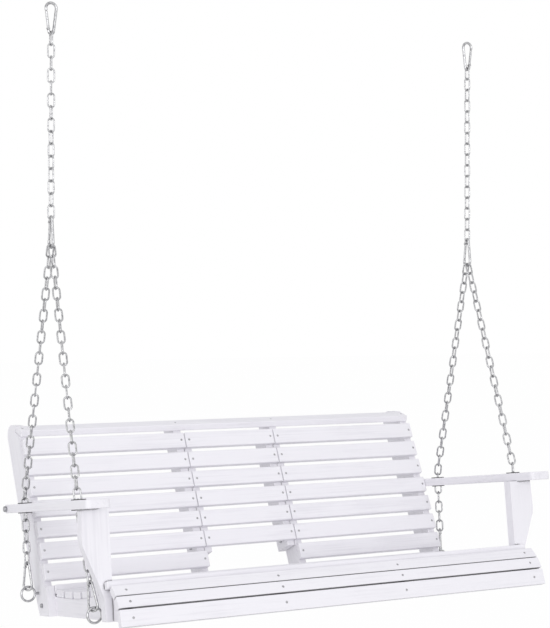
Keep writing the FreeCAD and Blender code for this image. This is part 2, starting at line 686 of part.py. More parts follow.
arm_bolt_spot = (size("arm_bolt_y"), 0)
end_bolts = [(to_back(*arm_bolt_spot), BOLT_HOLE, bolt_hole), (to_back(*foot_bolt_spot), BOLT_HOLE, bolt_hole),
             (to_back(*rear_eye_spot), BOLT_HOLE, bolt_hole)]
inner_bolts = [(pivot_spot, BOLT_HOLE, bolt_hole), (to_back(*foot_bolt_spot), BOLT_HOLE, bolt_hole)]
PIVOT_HOLE = "Sizes.bolt_diameter / 2 + Sizes.pivot_clearance"
console_bolts = [(pivot_spot, PIVOT_HOLE, size("bolt_diameter") / 2 + size("pivot_clearance"))]
back_alongs = [-slat_pitch * row for row in range(BACK_ROWS)]
inner_alongs = back_alongs + [low_slat_along]
console_alongs = back_alongs[:CONSOLE_ROWS]
stile("left_end_stile", -stile_out, end_outline, end_bolts, back_alongs, True)
stile("left_inner_stile", -inner_stile_out, inner_outline, inner_bolts, inner_alongs, True)
stile("right_inner_stile", inner_stile_in, inner_outline, inner_bolts, inner_alongs, True)
stile("right_end_stile", stile_in, end_outline, end_bolts, back_alongs, True)
stile("left_console_stile", -console_out, console_outline, console_bolts, console_alongs, False)
stile("right_console_stile", console_in, console_outline, console_bolts, console_alongs, False)

# Arms, with rounded corners and two chain holes, and a bolt hole from side to side
ARM_LENGTH = "Sizes.arm_rear_y - Sizes.arm_front_y"
half_arm = size("arm_thick") / 2
half_hole = size("hole_spacing") / 2


def arm(label, side):
    body = new_body(label)
    blank = sketch_on(body, "outline", "XY_Plane")
    outer = side * (stile_out + size("arm_width"))
    inner = side * stile_out
    corner = size("arm_corner")
    corners = [(inner, size("arm_front_y"), corner), (outer, size("arm_front_y"), corner),
               (outer, size("arm_rear_y"), corner), (inner, size("arm_rear_y"), 0)]
    draw_outline(blank, rounded_outline(corners))
    draw_circles(blank, [(side * chain_x, -half_hole), (side * chain_x, half_hole)], "Sizes.hole_diameter / 2",
                 size("hole_diameter") / 2)
    plank = pad(body, blank, "Sizes.arm_thick")
    plank.Midplane = True
    doc.recompute()
    edges = []
    for i, edge in enumerate(plank.Shape.Edges, start=1):
        box = edge.BoundBox
        level = box.ZLength < 0.01
        at_stile = abs(box.XMin - inner) < 0.01 and abs(box.XMax - inner) < 0.01
        is_hole = abs(box.YLength - size("hole_diameter")) < 0.01
        if level and not at_stile and not is_hole:
            edges.append("Edge%d" % i)
    round_edges(body, plank, edges, "Sizes.edge_round")
    drill(body, "bolt_hole", Vector(inner, size("arm_bolt_y"), 0), Vector(side, 0, 0), BOLT_HOLE,
          size("arm_width"), "Sizes.arm_width")
    body.Placement = bench
    keep(body)


arm("left_arm", -1)
arm("right_arm", 1)


# Arm posts: swelling a little below the arm, then tapering to a narrow foot
def post(label, side):
    body = new_body(label)
    blank = sketch_on(body, "outline", "XZ_Plane")
    inner = side * stile_in
    top = -half_arm
    swell = top - size("post_swell_drop")
    taper_end = swell - size("post_taper")
    wide = side * (stile_in + size("post_width"))
    widest = wide + side * size("post_swell")
    narrow = side * (stile_in + size("post_foot_width"))
    corners = [(inner, top, 0), (wide, top, 0), (widest, swell, size("post_bend")),
               (narrow, taper_end, size("post_bend")), (narrow, frame_bottom, size("edge_round")),
               (inner, frame_bottom, 0)]
    draw_outline(blank, rounded_outline(corners))
    pad(body, blank, "Sizes.post_thick")
    eye = Vector(inner, -size("post_thick") / 2, -size("post_bolt_drop"))
    drill(body, "bolt_hole", eye, Vector(side, 0, 0), BOLT_HOLE, size("post_bolt_depth"),
          "Sizes.post_bolt_depth + Sizes.fit_clearance")
    body.Placement = bench.multiply(Placement(Vector(0, post_rear_y, 0), Rotation()))
    keep(body)


post("left_post", -1)
post("right_post", 1)

# Washers above and below the chain holes
washer_solids = []
for side in (-1, 1):
    for y in (-half_hole, half_hole):
        for z in (half_arm, -half_arm - size("washer_thick")):
            disc = Part.makeCylinder(size("washer_diameter") / 2, size("washer_thick"))
            bore = Part.makeCylinder(size("hole_diameter") / 2, size("washer_thick"))
            ring = disc.cut(bore)
            ring.Placement = bench.multiply(Placement(Vector(side * chain_x, y, z), Rotation()))
            washer_solids.append(ring)
group_node("arm_washers", washer_solids)

# Bolts, each along X: a shank from one place to another and a round head
bolt_solids = []


def bolt(side, spot, head_at, tip_at, head_wide, head_thick, placement):
    """Bolt whose head sits on the face at head_at and whose tip is at tip_at."""
    way = 1 if tip_at > head_at else -1
    y, z = spot
    shank = Part.makeCylinder(size("bolt_diameter") / 2, abs(tip_at - head_at), Vector(side * head_at, y, z),
                              Vector(side * way, 0, 0))
    head = Part.makeCylinder(head_wide / 2, head_thick, Vector(side * head_at, y, z), Vector(-side * way, 0, 0))
    dome = min(head_thick, head_wide / 2) / 3
    rim = [edge for edge in head.Edges if abs(edge.BoundBox.Center.x - side * (head_at - way * head_thick)) < 0.01]
    solid = head.makeFillet(dome, rim).fuse(shank).removeSplitter()
    solid.Placement = placement
    return solid


head = (size("bolt_head"), size("bolt_head_thick"))
arm_head = (size("arm_bolt_head"), size("arm_bolt_head_thick"))
for side in (-1, 1):
    bolt_solids.append(bolt(side, arm_bolt_spot, stile_out + size("arm_width"), stile_in, *arm_head, bench))
    bolt_solids.append(bolt(side, foot_bolt_spot, stile_out, end_stringer_in, *head, bench))
    bolt_solids.append(bolt(side, foot_bolt_spot, inner_stringer_out, inner_stile_in, *head, bench))
    bolt_solids.append(bolt(side, post_bolt_spot, end_stringer_in, stile_in + size("post_bolt_depth"), *head, bench))
    nut_face = console_in - size("side_clearance")
    pivot_tip = nut_face - size("nut_thick")
    pivot = bolt(side, pivot_spot, inner_stile_out, pivot_tip, *head, back)
    nut = Part.makeCylinder(size("nut_diameter") / 2, size("nut_thick"),
                            Vector(side * nut_face, pivot_spot[0], pivot_spot[1]), Vector(-side, 0, 0))
    nut.Placement = back
    bolt_solids.append(pivot.fuse(nut).removeSplitter())
group_node("frame_bolts", bolt_solids)
group_node("slat_screws", frame_screws)
group_node("console_screws", console_screws)

# Eye screws: a ring across the bench on a shank along X
eye_solids = []
eye_rings = {}
for side, name in ((-1, "left"), (1, "right")):
    for which, face, spot in (("front", stile_in, front_eye_spot), ("rear", stile_out, rear_eye_spot)):
        y, z = spot
        ring_x = side * (face + size("eye_reach"))
        ring = Part.makeTorus(size("eye_radius"), size("eye_wire") / 2, Vector(ring_x, y, z), Vector(0, 1, 0))
        length = size("eye_depth") + size("eye_reach") - size("eye_radius")
        shank = Part.makeCylinder(size("bolt_diameter") / 2, length, Vector(side * (face - size("eye_depth")), y, z),
                                  Vector(side, 0, 0))
        solid = ring.fuse(shank).removeSplitter()
        solid.Placement = bench
        eye_solids.append(solid)
        eye_rings[(side, which)] = bench.multVec(Vector(ring_x, y, z))
group_node("eye_bolts", eye_solids)


# Snap hooks: wide bend at local (0, 0), narrow bend below it, gate on the local +x side
def hook_points(length, wire, wide, narrow):
    drop = length - wire - wide - narrow
    lean = math.asin((wide - narrow) / drop)
    out = Vector(math.cos(lean), 0, -math.sin(lean))
    back_out = Vector(-math.cos(lean), 0, -math.sin(lean))
    low = Vector(0, 0, -drop)
    along = Vector(-math.sin(lean), 0, -math.cos(lean))
    return drop, out, back_out, low, along


def hook_body(length, wire, wide, narrow):
    drop, out, back_out, low, along = hook_points(length, wire, wide, narrow)
    stub = size("hook_stub")
    path = [
        Part.LineSegment(out * wide + along * stub, out * wide).toShape(),
        Part.Arc(out * wide, Vector(0, 0, wide), back_out * wide).toShape(),
        Part.LineSegment(back_out * wide, low + back_out * narrow).toShape(),
        Part.Arc(low + back_out * narrow, low + Vector(0, 0, -narrow), low + out * narrow).toShape(),
        Part.LineSegment(low + out * narrow, low + out * narrow - along * stub).toShape(),
    ]
    start = out * wide + along * stub
    section = Part.Wire(Part.Circle(start, along, wire / 2).toShape())
    return Part.Wire(path).makePipeShell([section], True, False)


def hook_gate(length, wire, wide, narrow):
    """Gate rod with round ends, and its pivot at the narrow end."""
    drop, out, back_out, low, along = hook_points(length, wire, wide, narrow)
    radius = (wire - size("gate_slim")) / 2
    inset = size("hook_stub") + size("gate_gap") + radius
    free_end = out * wide + along * inset
    pivot = low + out * narrow - along * inset
    rod = Part.makeCylinder(radius, (free_end - pivot).Length, pivot, free_end - pivot)
    ends = [Part.makeSphere(radius, free_end), Part.makeSphere(radius, pivot)]
    return rod.multiFuse(ends).removeSplitter(), pivot


top_sizes = (size("top_hook_length"), size("top_hook_wire"), size("top_hook_wide"), size("top_hook_narrow"))
low_sizes = (size("hook_length"), size("hook_wire"), size("hook_wide"), size("hook_narrow"))
top_hook_solid = hook_body(*top_sizes)
top_gate_solid, top_gate_pivot = hook_gate(*top_sizes)
low_hook_solid = hook_body(*low_sizes)
low_gate_solid, low_gate_pivot = hook_gate(*low_sizes)


def placed(solid, placement):
    copy = solid.copy()
    copy.Placement = placement
    return copy


def gate_node(label, solid, pivot, placement):
    feature = doc.addObject("Part::Feature", label)
    feature.Label = label
    feature.Shape = placed(solid, placement)
    keep(feature)
    spot = placement.multVec(pivot)
    axis = placement.Rotation.multVec(Vector(0, 1, 0))
    print("pivot %s at %.3f %.3f %.3f axis %.5f %.5f %.5f" % (label, spot.x, spot.y, spot.z, axis.x, axis.y, axis.z))


# Chains: links between joint points, each link's length from the joints beside it
upper_wire = size("chain_wire")
low_wire = size("low_chain_wire")
upper_link = (upper_wire, size("link_width"))
low_link = (low_wire, size("low_link_width"))


def half_joint(wire):
    """Middle of a wire from the middle of the joint it makes with the next link."""
    return (wire + size("chain_gap")) / 2


def link_solid(pitch, wire, width):
    """Link along local z about the origin, its width along local x."""
    bend = (width - wire) / 2
    half = pitch / 2 + half_joint(wire) - bend
    disc = Part.Face(Part.Wire(Part.Circle(Vector(bend, 0, half), Vector(0, 0, 1), wire / 2).toShape()))
    upper = disc.revolve(Vector(0, 0, half), Vector(0, -1, 0), 180)
    right = disc.extrude(Vector(0, 0, -2 * half))
    lower = upper.copy()
    lower.rotate(Vector(), Vector(0, 1, 0), 180)
    left = right.copy()
    left.rotate(Vector(), Vector(0, 1, 0), 180)
    return upper.multiFuse([right, lower, left]).removeSplitter()


link_store = {}


def chain_solids(joints, link, first_turn, last_turn):
    """Links from joint to joint, each a quarter turn on; the chain's twist brings the last to its turn.
    A link's turn is the angle of its width from the bench's width, about the chain."""
    solids = []
    steps = len(joints) - 2
    twist = (last_turn - first_turn - 90 * steps + 90) % 180 - 90
    for i in range(len(joints) - 1):
        way = joints[i] - joints[i + 1]
        key = (round(way.Length, 3),) + link
        if key not in link_store:
            link_store[key] = link_solid(*key)
        along = way.normalize()
        across = (X_AXIS - along * X_AXIS.dot(along)).normalize()
        other = along.cross(across)
        turn = math.radians(first_turn + (90 + twist / steps) * i)
        wide = across * math.cos(turn) + other * math.sin(turn)
        middle = (joints[i] + joints[i + 1]) * 0.5
        solids.append(placed(link_store[key], Placement(middle, Rotation(wide, along.cross(wide), along, "ZXY"))))
    return solids


def spread(points, count):
    """Joint points at equal distances along a bent line."""
    runs = [(points[i + 1] - points[i]).Length for i in range(len(points) - 1)]
    step = sum(runs) / count
    joints = []
    for i in range(count + 1):
        left = step * i
        index = 0
        while index < len(runs) - 1 and left > runs[index]:
            left -= runs[index]
            index += 1
        joints.append(points[index] + (points[index + 1] - points[index]) * (left / runs[index]))
    return joints


def bearing(hook_wire, wire):
    """Middle of a link's wire from the middle of the hook's wire it hangs on."""
    return (hook_wire + wire) / 2 + size("chain_gap")


top_wire = size("top_hook_wire")
top_wide = size("top_hook_wide")
top_inner = size("top_hook_length") - top_wire
low_inner = size("hook_length") - size("hook_wire")
upper_reach = bearing(top_wire, upper_wire) - half_joint(upper_wire)
low_reach = bearing(size("hook_wire"), low_wire) - half_joint(low_wire)
link_offset = (low_wire + size("link_room")) / 2
top_hooks = []
chain_hooks = []
for side, name in ((-1, "left"), (1, "right")):
    hook_x = side * (chain_x - size("hook_inset"))
    # The top hook: its inner top at z = 0, its gate outwards
    facing = Rotation(Vector(0, 0, 1), 0 if side > 0 else 180)
    top_place = Placement(Vector(hook_x, 0, top_wire / 2 - top_wide), facing)
    top_hooks.append(placed(top_hook_solid, top_place))
    gate_node(name + "_top_gate", top_gate_solid, top_gate_pivot, top_place)
    hang_z = top_wire / 2 - top_inner
    # The upper chain hangs on it, straight down to the junction hook
    first_joint = hang_z + upper_reach
    upper_joints = [Vector(hook_x, 0, first_joint - size("link_pitch") * i) for i in range(UPPER_LINKS[name] + 1)]
    group_node(name + "_upper_chain", chain_solids(upper_joints, upper_link, 90, 0))
    # The junction hook: wide bend down, lying fore and aft, its gate to the back
    junction_low = upper_joints[-1].z + upper_reach - top_inner
    fore_and_aft = Rotation(Vector(0, 1, 0), Vector(1, 0, 0), Vector(0, 0, -1), "ZXY")
    junction_place = Placement(Vector(hook_x, 0, junction_low + top_wide), fore_and_aft)
    chain_hooks.append(placed(top_hook_solid, junction_place))
    gate_node(name + "_junction_gate", top_gate_solid, top_gate_pivot, junction_place)
    # The first links of the two lower chains lie side by side in its wide bend
    room = top_wide - top_wire / 2 - low_wire / 2 - size("junction_room")
    rise = top_wide - math.sqrt(room ** 2 - link_offset ** 2)
    for which, sign in (("front", -1), ("rear", 1)):
        ring = eye_rings[(side, which)]
        hole = bench.multVec(Vector(side * chain_x, sign * half_hole, 0))
        up = (hole - ring).normalize()
        # The lower hook: wide bend down in the ring, narrow bend up in the last link
        ring_reach = bearing(size("hook_wire"), size("eye_wire")) + size("ring_room")
        hook_bottom = ring + up * (size("eye_radius") - ring_reach)
        last_joint = hook_bottom + up * (low_inner - low_reach)
        kink = hole + up * size("chain_kink")
        start = Vector(hook_x, sign * link_offset, junction_low + rise)
        lean = (kink - start).normalize()
        joints = spread([start + lean * half_joint(low_wire), kink, last_joint], LOWER_LINKS[name])
        outwards = (X_AXIS - up * X_AXIS.dot(up)).normalize() * side
        backwards = (up * side).cross(outwards)
        hook_turn = math.radians(size("hook_turn"))
        gate_way = outwards * math.sin(hook_turn) + backwards * math.cos(hook_turn)
        last_turn = side * (90 - size("hook_turn")) + 90
        group_node("%s_%s_chain" % (name, which), chain_solids(joints, low_link, 0, last_turn))
        turn = Rotation(gate_way, (up * -1).cross(gate_way), up * -1, "ZXY")
        low_place = Placement(hook_bottom + up * size("hook_wide"), turn)
        chain_hooks.append(placed(low_hook_solid, low_place))
        gate_node("%s_%s_gate" % (name, which), low_gate_solid, low_gate_pivot, low_place)
group_node("top_hooks", top_hooks)
group_node("chain_hooks", chain_hooks)

doc.recompute()
for item in doc.Objects:
    if "Invalid" in item.State or "Error" in item.State:
        raise RuntimeError("failed: " + item.Label)
for node in nodes:
    if node.Shape.isNull() or not node.Shape.isValid():
        raise RuntimeError("bad shape: " + node.Label)

pivot_world = back.multVec(Vector(0, pivot_spot[0], pivot_spot[1]))
print("console pivot at %.3f %.3f" % (pivot_world.y, pivot_world.z))
print("swing axis at z = %.3f" % hang_z)
os.makedirs("parts", exist_ok=True)
for node in nodes:
    node.Shape.exportStep("parts/%s.step" % node.Label)
print("%d nodes" % len(nodes))
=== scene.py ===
"""A white wooden porch swing bench with a fold-down centre console, hung on two Y-shaped chains."""
import json
import math

import bmesh
import bpy
import numpy as np
from mathutils import Matrix, Vector

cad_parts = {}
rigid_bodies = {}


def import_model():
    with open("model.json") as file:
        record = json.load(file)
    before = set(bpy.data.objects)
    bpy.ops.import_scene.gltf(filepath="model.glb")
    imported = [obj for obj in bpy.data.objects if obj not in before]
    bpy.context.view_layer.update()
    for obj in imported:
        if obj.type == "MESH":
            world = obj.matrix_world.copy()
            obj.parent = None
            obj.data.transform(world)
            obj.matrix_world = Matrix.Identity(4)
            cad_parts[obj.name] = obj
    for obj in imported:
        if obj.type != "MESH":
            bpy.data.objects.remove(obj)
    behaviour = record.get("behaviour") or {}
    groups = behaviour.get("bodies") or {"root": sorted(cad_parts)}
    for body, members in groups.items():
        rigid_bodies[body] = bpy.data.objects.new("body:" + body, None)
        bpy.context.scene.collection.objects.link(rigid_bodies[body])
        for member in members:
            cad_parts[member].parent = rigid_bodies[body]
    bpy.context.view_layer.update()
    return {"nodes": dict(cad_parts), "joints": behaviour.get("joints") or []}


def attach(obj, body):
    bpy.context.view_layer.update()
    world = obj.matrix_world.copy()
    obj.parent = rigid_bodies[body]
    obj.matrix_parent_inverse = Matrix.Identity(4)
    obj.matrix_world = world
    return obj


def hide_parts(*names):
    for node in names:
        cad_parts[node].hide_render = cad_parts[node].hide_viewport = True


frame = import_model()
nodes = frame["nodes"]

# How the bench hangs: the whole bench tilts, its back reclines further
HANG_TILT = math.radians(7.33)
BACK_LEAN = HANG_TILT + math.radians(18.06)
QUARTER_TURN = math.radians(90)

# Finishes
PAINT_WHITE = (0.860, 0.846, 0.882, 1)
PAINT_SHADE = (0.795, 0.78, 0.82, 1)
ZINC_LIGHT = (0.52, 0.52, 0.53, 1)
ZINC_DARK = (0.20, 0.20, 0.215, 1)
BOLT_LIGHT = (0.40, 0.40, 0.42, 1)
BOLT_DARK = (0.16, 0.16, 0.17, 1)
SCREW_LIGHT = (0.66, 0.65, 0.67, 1)
SCREW_DARK = (0.42, 0.415, 0.43, 1)
COAT_BLACK = (0.022, 0.022, 0.025, 1)
COAT_WORN = (0.07, 0.068, 0.072, 1)
# Colour of the painted shade in the joints
PAINTED_SHADE_COLOUR = (0.035, 0.034, 0.037, 1)

# Grain: loose along the board, which lies on X, and tight across it
STREAK_SCALE = (1.6, 70, 70)
CLOUD_SCALE = (3, 9, 9)

# Painted shade in joints, from ambient occlusion: how near another board has to be, and the open share below which the
# shade is full and above which none is
PAINTED_SHADE_REACH = 0.013
GAP_PAINTED_SHADE = (0.06, 0.50)
CORNER_PAINTED_SHADE = (0.54, 0.66)


def new_material(name):
    material = bpy.data.materials.new(name)
    material.use_nodes = True
    tree = material.node_tree
    return material, tree, tree.nodes["Principled BSDF"]


def node(tree, kind, **settings):
    """A new shader node, with each setting put on its socket or else on the node itself."""
    made = tree.nodes.new(kind)
    for key, value in settings.items():
        if key in made.inputs:
            made.inputs[key].default_value = value
        else:
            setattr(made, key, value)
    return made


def object_coordinates(tree, scale=(1, 1, 1), turn=(0, 0, 0)):
    """Object coordinates, turned first and then scaled; one Mapping node would scale first."""
    place = node(tree, "ShaderNodeTexCoord")
    turned = node(tree, "ShaderNodeMapping", Rotation=turn)
    scaled = node(tree, "ShaderNodeMapping", Scale=scale)
    tree.links.new(place.outputs["Object"], turned.inputs["Vector"])
    tree.links.new(turned.outputs["Vector"], scaled.inputs["Vector"])
    return scaled.outputs["Vector"]


def noise(tree, vector, scale, detail, roughness=0.5):
    """Cloudy noise, from 0 to 1."""
    made = node(tree, "ShaderNodeTexNoise", Scale=scale, Detail=detail, Roughness=roughness)
    tree.links.new(vector, made.inputs["Vector"])
    return made.outputs["Fac"]


def ramp(tree, factor, stops):
    """Colour that goes from the first stop's to the second's."""
    made = node(tree, "ShaderNodeValToRGB")
    for element, (at, colour) in zip(made.color_ramp.elements, stops):
        element.position = at
        element.color = colour
    tree.links.new(factor, made.inputs["Fac"])
    return made.outputs["Color"]


def spread(tree, factor, low=0, high=1, start=0, end=1):
    """A factor's range from start to end, drawn out to one from low to high."""
    limits = {"From Min": start, "From Max": end, "To Min": low, "To Max": high}
    made = node(tree, "ShaderNodeMapRange", **limits)
    tree.links.new(factor, made.inputs["Value"])
    return made.outputs["Result"]


# Places of a Mix node's sockets, which share their names between numbers and colours
MIX_SHARE = 0
NUMBER_A, NUMBER_B, NUMBER_OUT = 2, 3, 0
COLOUR_A, COLOUR_B, COLOUR_OUT = 6, 7, 2


def blended(tree, first, second, share):
    """Two numbers mixed; the share is the second's."""
    made = node(tree, "ShaderNodeMix", data_type="FLOAT")
    made.inputs[MIX_SHARE].default_value = share
    tree.links.new(first, made.inputs[NUMBER_A])
    tree.links.new(second, made.inputs[NUMBER_B])
    return made.outputs[NUMBER_OUT]


def raised(tree, shader, height, strength, distance):
    """Fine relief on the finish."""
    relief = node(tree, "ShaderNodeBump", Strength=strength, Distance=distance)
    tree.links.new(height, relief.inputs["Height"])
    tree.links.new(relief.outputs["Normal"], shader.inputs["Normal"])


def painted_joint_shade(tree, colour, shade_full_below, shade_none_above):
    """The colour, darkened by painted shade where another board closes off the open side."""
    open_share = node(tree, "ShaderNodeAmbientOcclusion", Distance=PAINTED_SHADE_REACH, samples=8).outputs["AO"]
    unshaded = spread(tree, open_share, start=shade_full_below, end=shade_none_above)
    made = node(tree, "ShaderNodeMix", data_type="RGBA")
    made.inputs[COLOUR_A].default_value = PAINTED_SHADE_COLOUR
    tree.links.new(unshaded, made.inputs[MIX_SHARE])
    tree.links.new(colour, made.inputs[COLOUR_B])
    return made.outputs[COLOUR_OUT]


def white_paint(name, grain_turn, painted_shade=None):
    """Satin white paint over wood: the grain shows as fine streaks along the board."""
    material, tree, shader = new_material(name)
    along_grain = object_coordinates(tree, STREAK_SCALE, grain_turn)
    streaks = noise(tree, along_grain, scale=2.2, detail=7, roughness=0.62)
    clouds = noise(tree, object_coordinates(tree, CLOUD_SCALE, grain_turn), scale=1.5, detail=3)
    grain = blended(tree, streaks, clouds, share=0.45)
    colour = ramp(tree, grain, [(0.36, PAINT_SHADE), (0.50, PAINT_WHITE)])
    # Painted shade where another board stands close
    if painted_shade:
        colour = painted_joint_shade(tree, colour, *painted_shade)
    tree.links.new(colour, shader.inputs["Base Color"])
    tree.links.new(spread(tree, streaks, low=0.38, high=0.62), shader.inputs["Roughness"])
    raised(tree, shader, streaks, strength=0.35, distance=0.0012)
    shader.inputs["Specular IOR Level"].default_value = 0.35
    return material


def zinc_plate(name, deep, bright):
    """Bright zinc on steel wire, with faint spangle and duller patches."""
    material, tree, shader = new_material(name)
    here = object_coordinates(tree)
    patches = noise(tree, here, scale=160, detail=4)
    cells = node(tree, "ShaderNodeTexVoronoi", Scale=420)
    tree.links.new(here, cells.inputs["Vector"])
    spangle = blended(tree, patches, cells.outputs["Distance"], share=0.3)
    tree.links.new(ramp(tree, spangle, [(0.28, deep), (0.55, bright)]), shader.inputs["Base Color"])
    tree.links.new(spread(tree, patches, low=0.22, high=0.42), shader.inputs["Roughness"])
    raised(tree, shader, patches, strength=0.12, distance=0.0003)
    shader.inputs["Metallic"].default_value = 1
    return material


def dark_metal(name, deep, worn, metallic):
    """Coated steel of screws and washers, rubbed a little lighter in places."""
    material, tree, shader = new_material(name)
    rub = noise(tree, object_coordinates(tree), scale=240, detail=5)
    tree.links.new(ramp(tree, rub, [(0.42, deep), (0.66, worn)]), shader.inputs["Base Color"])
    tree.links.new(spread(tree, rub, low=0.32, high=0.52), shader.inputs["Roughness"])
    raised(tree, shader, rub, strength=0.15, distance=0.0002)
    shader.inputs["Metallic"].default_value = metallic
    return material


# Each turn brings the board's length onto X; the front boards and the posts also get painted shade in their joints
across_paint = white_paint("paint_grain_across", (0, 0, 0))
front_paint = white_paint("paint_grain_front_painted_shade", (0, 0, 0), GAP_PAINTED_SHADE)
stile_paint = white_paint("paint_grain_stiles", (BACK_LEAN, QUARTER_TURN, 0))
arm_paint = white_paint("paint_grain_arms", (HANG_TILT, 0, QUARTER_TURN))
post_paint = white_paint("paint_grain_posts_painted_shade", (HANG_TILT, QUARTER_TURN, 0), CORNER_PAINTED_SHADE)
zinc = zinc_plate("zinc_wire", ZINC_DARK, ZINC_LIGHT)
bolt_steel = zinc_plate("bolt_steel", BOLT_DARK, BOLT_LIGHT)
screw_steel = dark_metal("screw_steel", SCREW_DARK, SCREW_LIGHT, metallic=0.7)
black_coat = dark_metal("black_coating", COAT_BLACK, COAT_WORN, metallic=0.2)


def finish_for(name):
    """The finish of a CAD node, by its name."""
    if "stile" in name:
        return stile_paint
    if "stringer" in name or name.endswith("_arm"):
        return arm_paint
    if name.endswith("_post"):
        return post_paint
    if name.endswith("_nosing") or name == "front_apron":
        return front_paint
    if name == "arm_washers":
        return black_coat
    if name == "frame_bolts":
        return bolt_steel
    if name.endswith("_screws"):
        return screw_steel
    if "chain" in name or "hook" in name or "gate" in name or name == "eye_bolts":
        return zinc
    return across_paint


for name, obj in nodes.items():
    obj.data.materials.clear()
    obj.data.materials.append(finish_for(name))


# Small metal details, set on the frame's own solids; points nearer than this are one
SAME_POINT = 1e-6


def loose_solids(name):
    """The points of each separate solid of a CAD node."""
    shape = bmesh.new()
    shape.from_mesh(nodes[name].data)
    bmesh.ops.remove_doubles(shape, verts=shape.verts, dist=SAME_POINT)
    seen = set()
    solids = []
    for start in shape.verts:
        if start in seen:
            continue
        seen.add(start)
        reached = [start]
        for vert in reached:
            for edge in vert.link_edges:
                other = edge.other_vert(vert)
                if other not in seen:
                    seen.add(other)
                    reached.append(other)
        solids.append(np.array([vert.co[:] for vert in reached]))
    shape.free()
    return solids


def own_directions(points):
    """Middle of a solid and its three directions, the longest first."""
    middle = points.mean(axis=0)
    directions = np.linalg.eigh(np.cov((points - middle).T))[1]
    return middle, [Vector(directions[:, i]) for i in (2, 1, 0)]


def standing(spot, up):
    """Matrix that stands a shape made along +Z on a spot, pointing up."""
    return Matrix.Translation(spot) @ Vector(up).to_track_quat("Z", "Y").to_matrix().to_4x4()


def metal_piece(name, shape, finish, body):
    """Makes a finished shape a piece of the scene that rides on a body."""
    bmesh.ops.recalc_face_normals(shape, faces=shape.faces)
    mesh = bpy.data.meshes.new(name)
    shape.to_mesh(mesh)
    shape.free()
    mesh.materials.append(finish)
    piece = bpy.data.objects.new(name, mesh)
    bpy.context.collection.objects.link(piece)
    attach(piece, body)
    return piece


# Screw heads with a cross recess
SCREW_RADIUS = 0.0036
SCREW_THICK = 0.002
RECESS_REACH = 0.0024
RECESS_WIDTH = 0.0009
RECESS_DEPTH = 0.0013
HEAD_CELLS = 5
THICK_SHARE = 0.8


def add_screw_head(shape, place):
    """Round head facing +Z: a grid whose rim is drawn out to a circle and whose cross is sunk."""
    made = bmesh.ops.create_grid(shape, x_segments=HEAD_CELLS, y_segments=HEAD_CELLS, size=SCREW_RADIUS, matrix=place)
    verts = made["verts"]
    lines = (SCREW_RADIUS, RECESS_REACH, RECESS_WIDTH / 2)
    step = 2 * SCREW_RADIUS / HEAD_CELLS
    half = HEAD_CELLS / 2
    back = place.inverted()
    rim = []
    for vert in verts:
        spot = back @ vert.co
        at = [round((c / step) + half) for c in spot.xy]
        spot.x, spot.y = [math.copysign(lines[min(i, HEAD_CELLS - i)], i - half) for i in at]
        if 0 in at or HEAD_CELLS in at:
            spot.xy = spot.xy.normalized() * SCREW_RADIUS
            rim.append(vert)
        vert.co = place @ spot
    cross = []
    for face in dict.fromkeys(face for vert in verts for face in vert.link_faces):
        middle = back @ face.calc_center_median()
        near = sorted((abs(middle.x), abs(middle.y)))
        if near[0] < RECESS_WIDTH / 4 and near[1] < RECESS_REACH:
            cross.append(face)
    down = place.to_3x3() @ Vector((0, 0, -1))
    sunk = bmesh.ops.extrude_face_region(shape, geom=cross)
    floor_verts = [item for item in sunk["geom"] if isinstance(item, bmesh.types.BMVert)]
    bmesh.ops.translate(shape, verts=floor_verts, vec=down * RECESS_DEPTH)
    bmesh.ops.delete(shape, geom=cross, context="FACES_ONLY")
    edges = [edge for vert in rim for edge in vert.link_edges if len(edge.link_faces) == 1]
    skirt = bmesh.ops.extrude_edge_only(shape, edges=list(dict.fromkeys(edges)))
    skirt_verts = [item for item in skirt["geom"] if isinstance(item, bmesh.types.BMVert)]
    bmesh.ops.translate(shape, verts=skirt_verts, vec=down * SCREW_THICK)


def screw_heads(cad_name, name, body):
    """A head for each screw of a CAD node, at the thick end of its solid."""
    shape = bmesh.new()
    for points in loose_solids(cad_name):
        middle, (along, *_) = own_directions(points)
        heights = (points - middle) @ np.array(along)
        widths = np.linalg.norm(points - middle - np.outer(heights, along), axis=1)
        if heights[widths > widths.max() * THICK_SHARE].mean() < 0:
            along, heights = -along, -heights
        add_screw_head(shape, standing(Vector(middle) + along * heights.max(), along))
    piece = metal_piece(name, shape, screw_steel, body)
    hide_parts(cad_name)


screw_heads("slat_screws", "frame_screw_heads", "bench")
screw_heads("console_screws", "console_screw_heads", "console")

# A weld on one long side of each chain link, the one that lies more towards WELD_SIDE
WELD_SWELL = 1.16
WELD_LENGTH = 0.006
WELD_SIDE = Vector((1, -0.7, 0.3))


def chain_welds(cad_name):
    """A bead round one long side of each link of a chain."""
    shape = bmesh.new()
    for points in loose_solids(cad_name):
        middle, (along, side, other) = own_directions(points)
        if side.dot(WELD_SIDE) < 0:
            side = -side
        half_wide = np.abs((points - middle) @ np.array(side)).max()
        half_wire = np.abs((points - middle) @ np.array(other)).max()
        spot = Vector(middle) + side * (half_wide - half_wire)
        thick = half_wire * WELD_SWELL
        place = standing(spot, along) @ Matrix.Diagonal((thick, thick, WELD_LENGTH / 2, 1))
        bmesh.ops.create_uvsphere(shape, u_segments=8, v_segments=5, radius=1, matrix=place)
    metal_piece(cad_name + "_welds", shape, zinc, "bench")


for name in nodes:
    if name.endswith("_chain"):
        chain_welds(name)

# Rivets and cheek plates at the gates of the snap hooks
HOOK_WIRE = {"top": 0.008, "junction": 0.008, "front": 0.007, "rear": 0.007}
CHEEK_THICK = 0.0011
CHEEK_SUNK = 0.0003
CHEEK_FOOT = 0.5
CHEEK_TOP = 0.46
RIVET_RADIUS = 0.0018
RIVET_HEAD = 0.0009


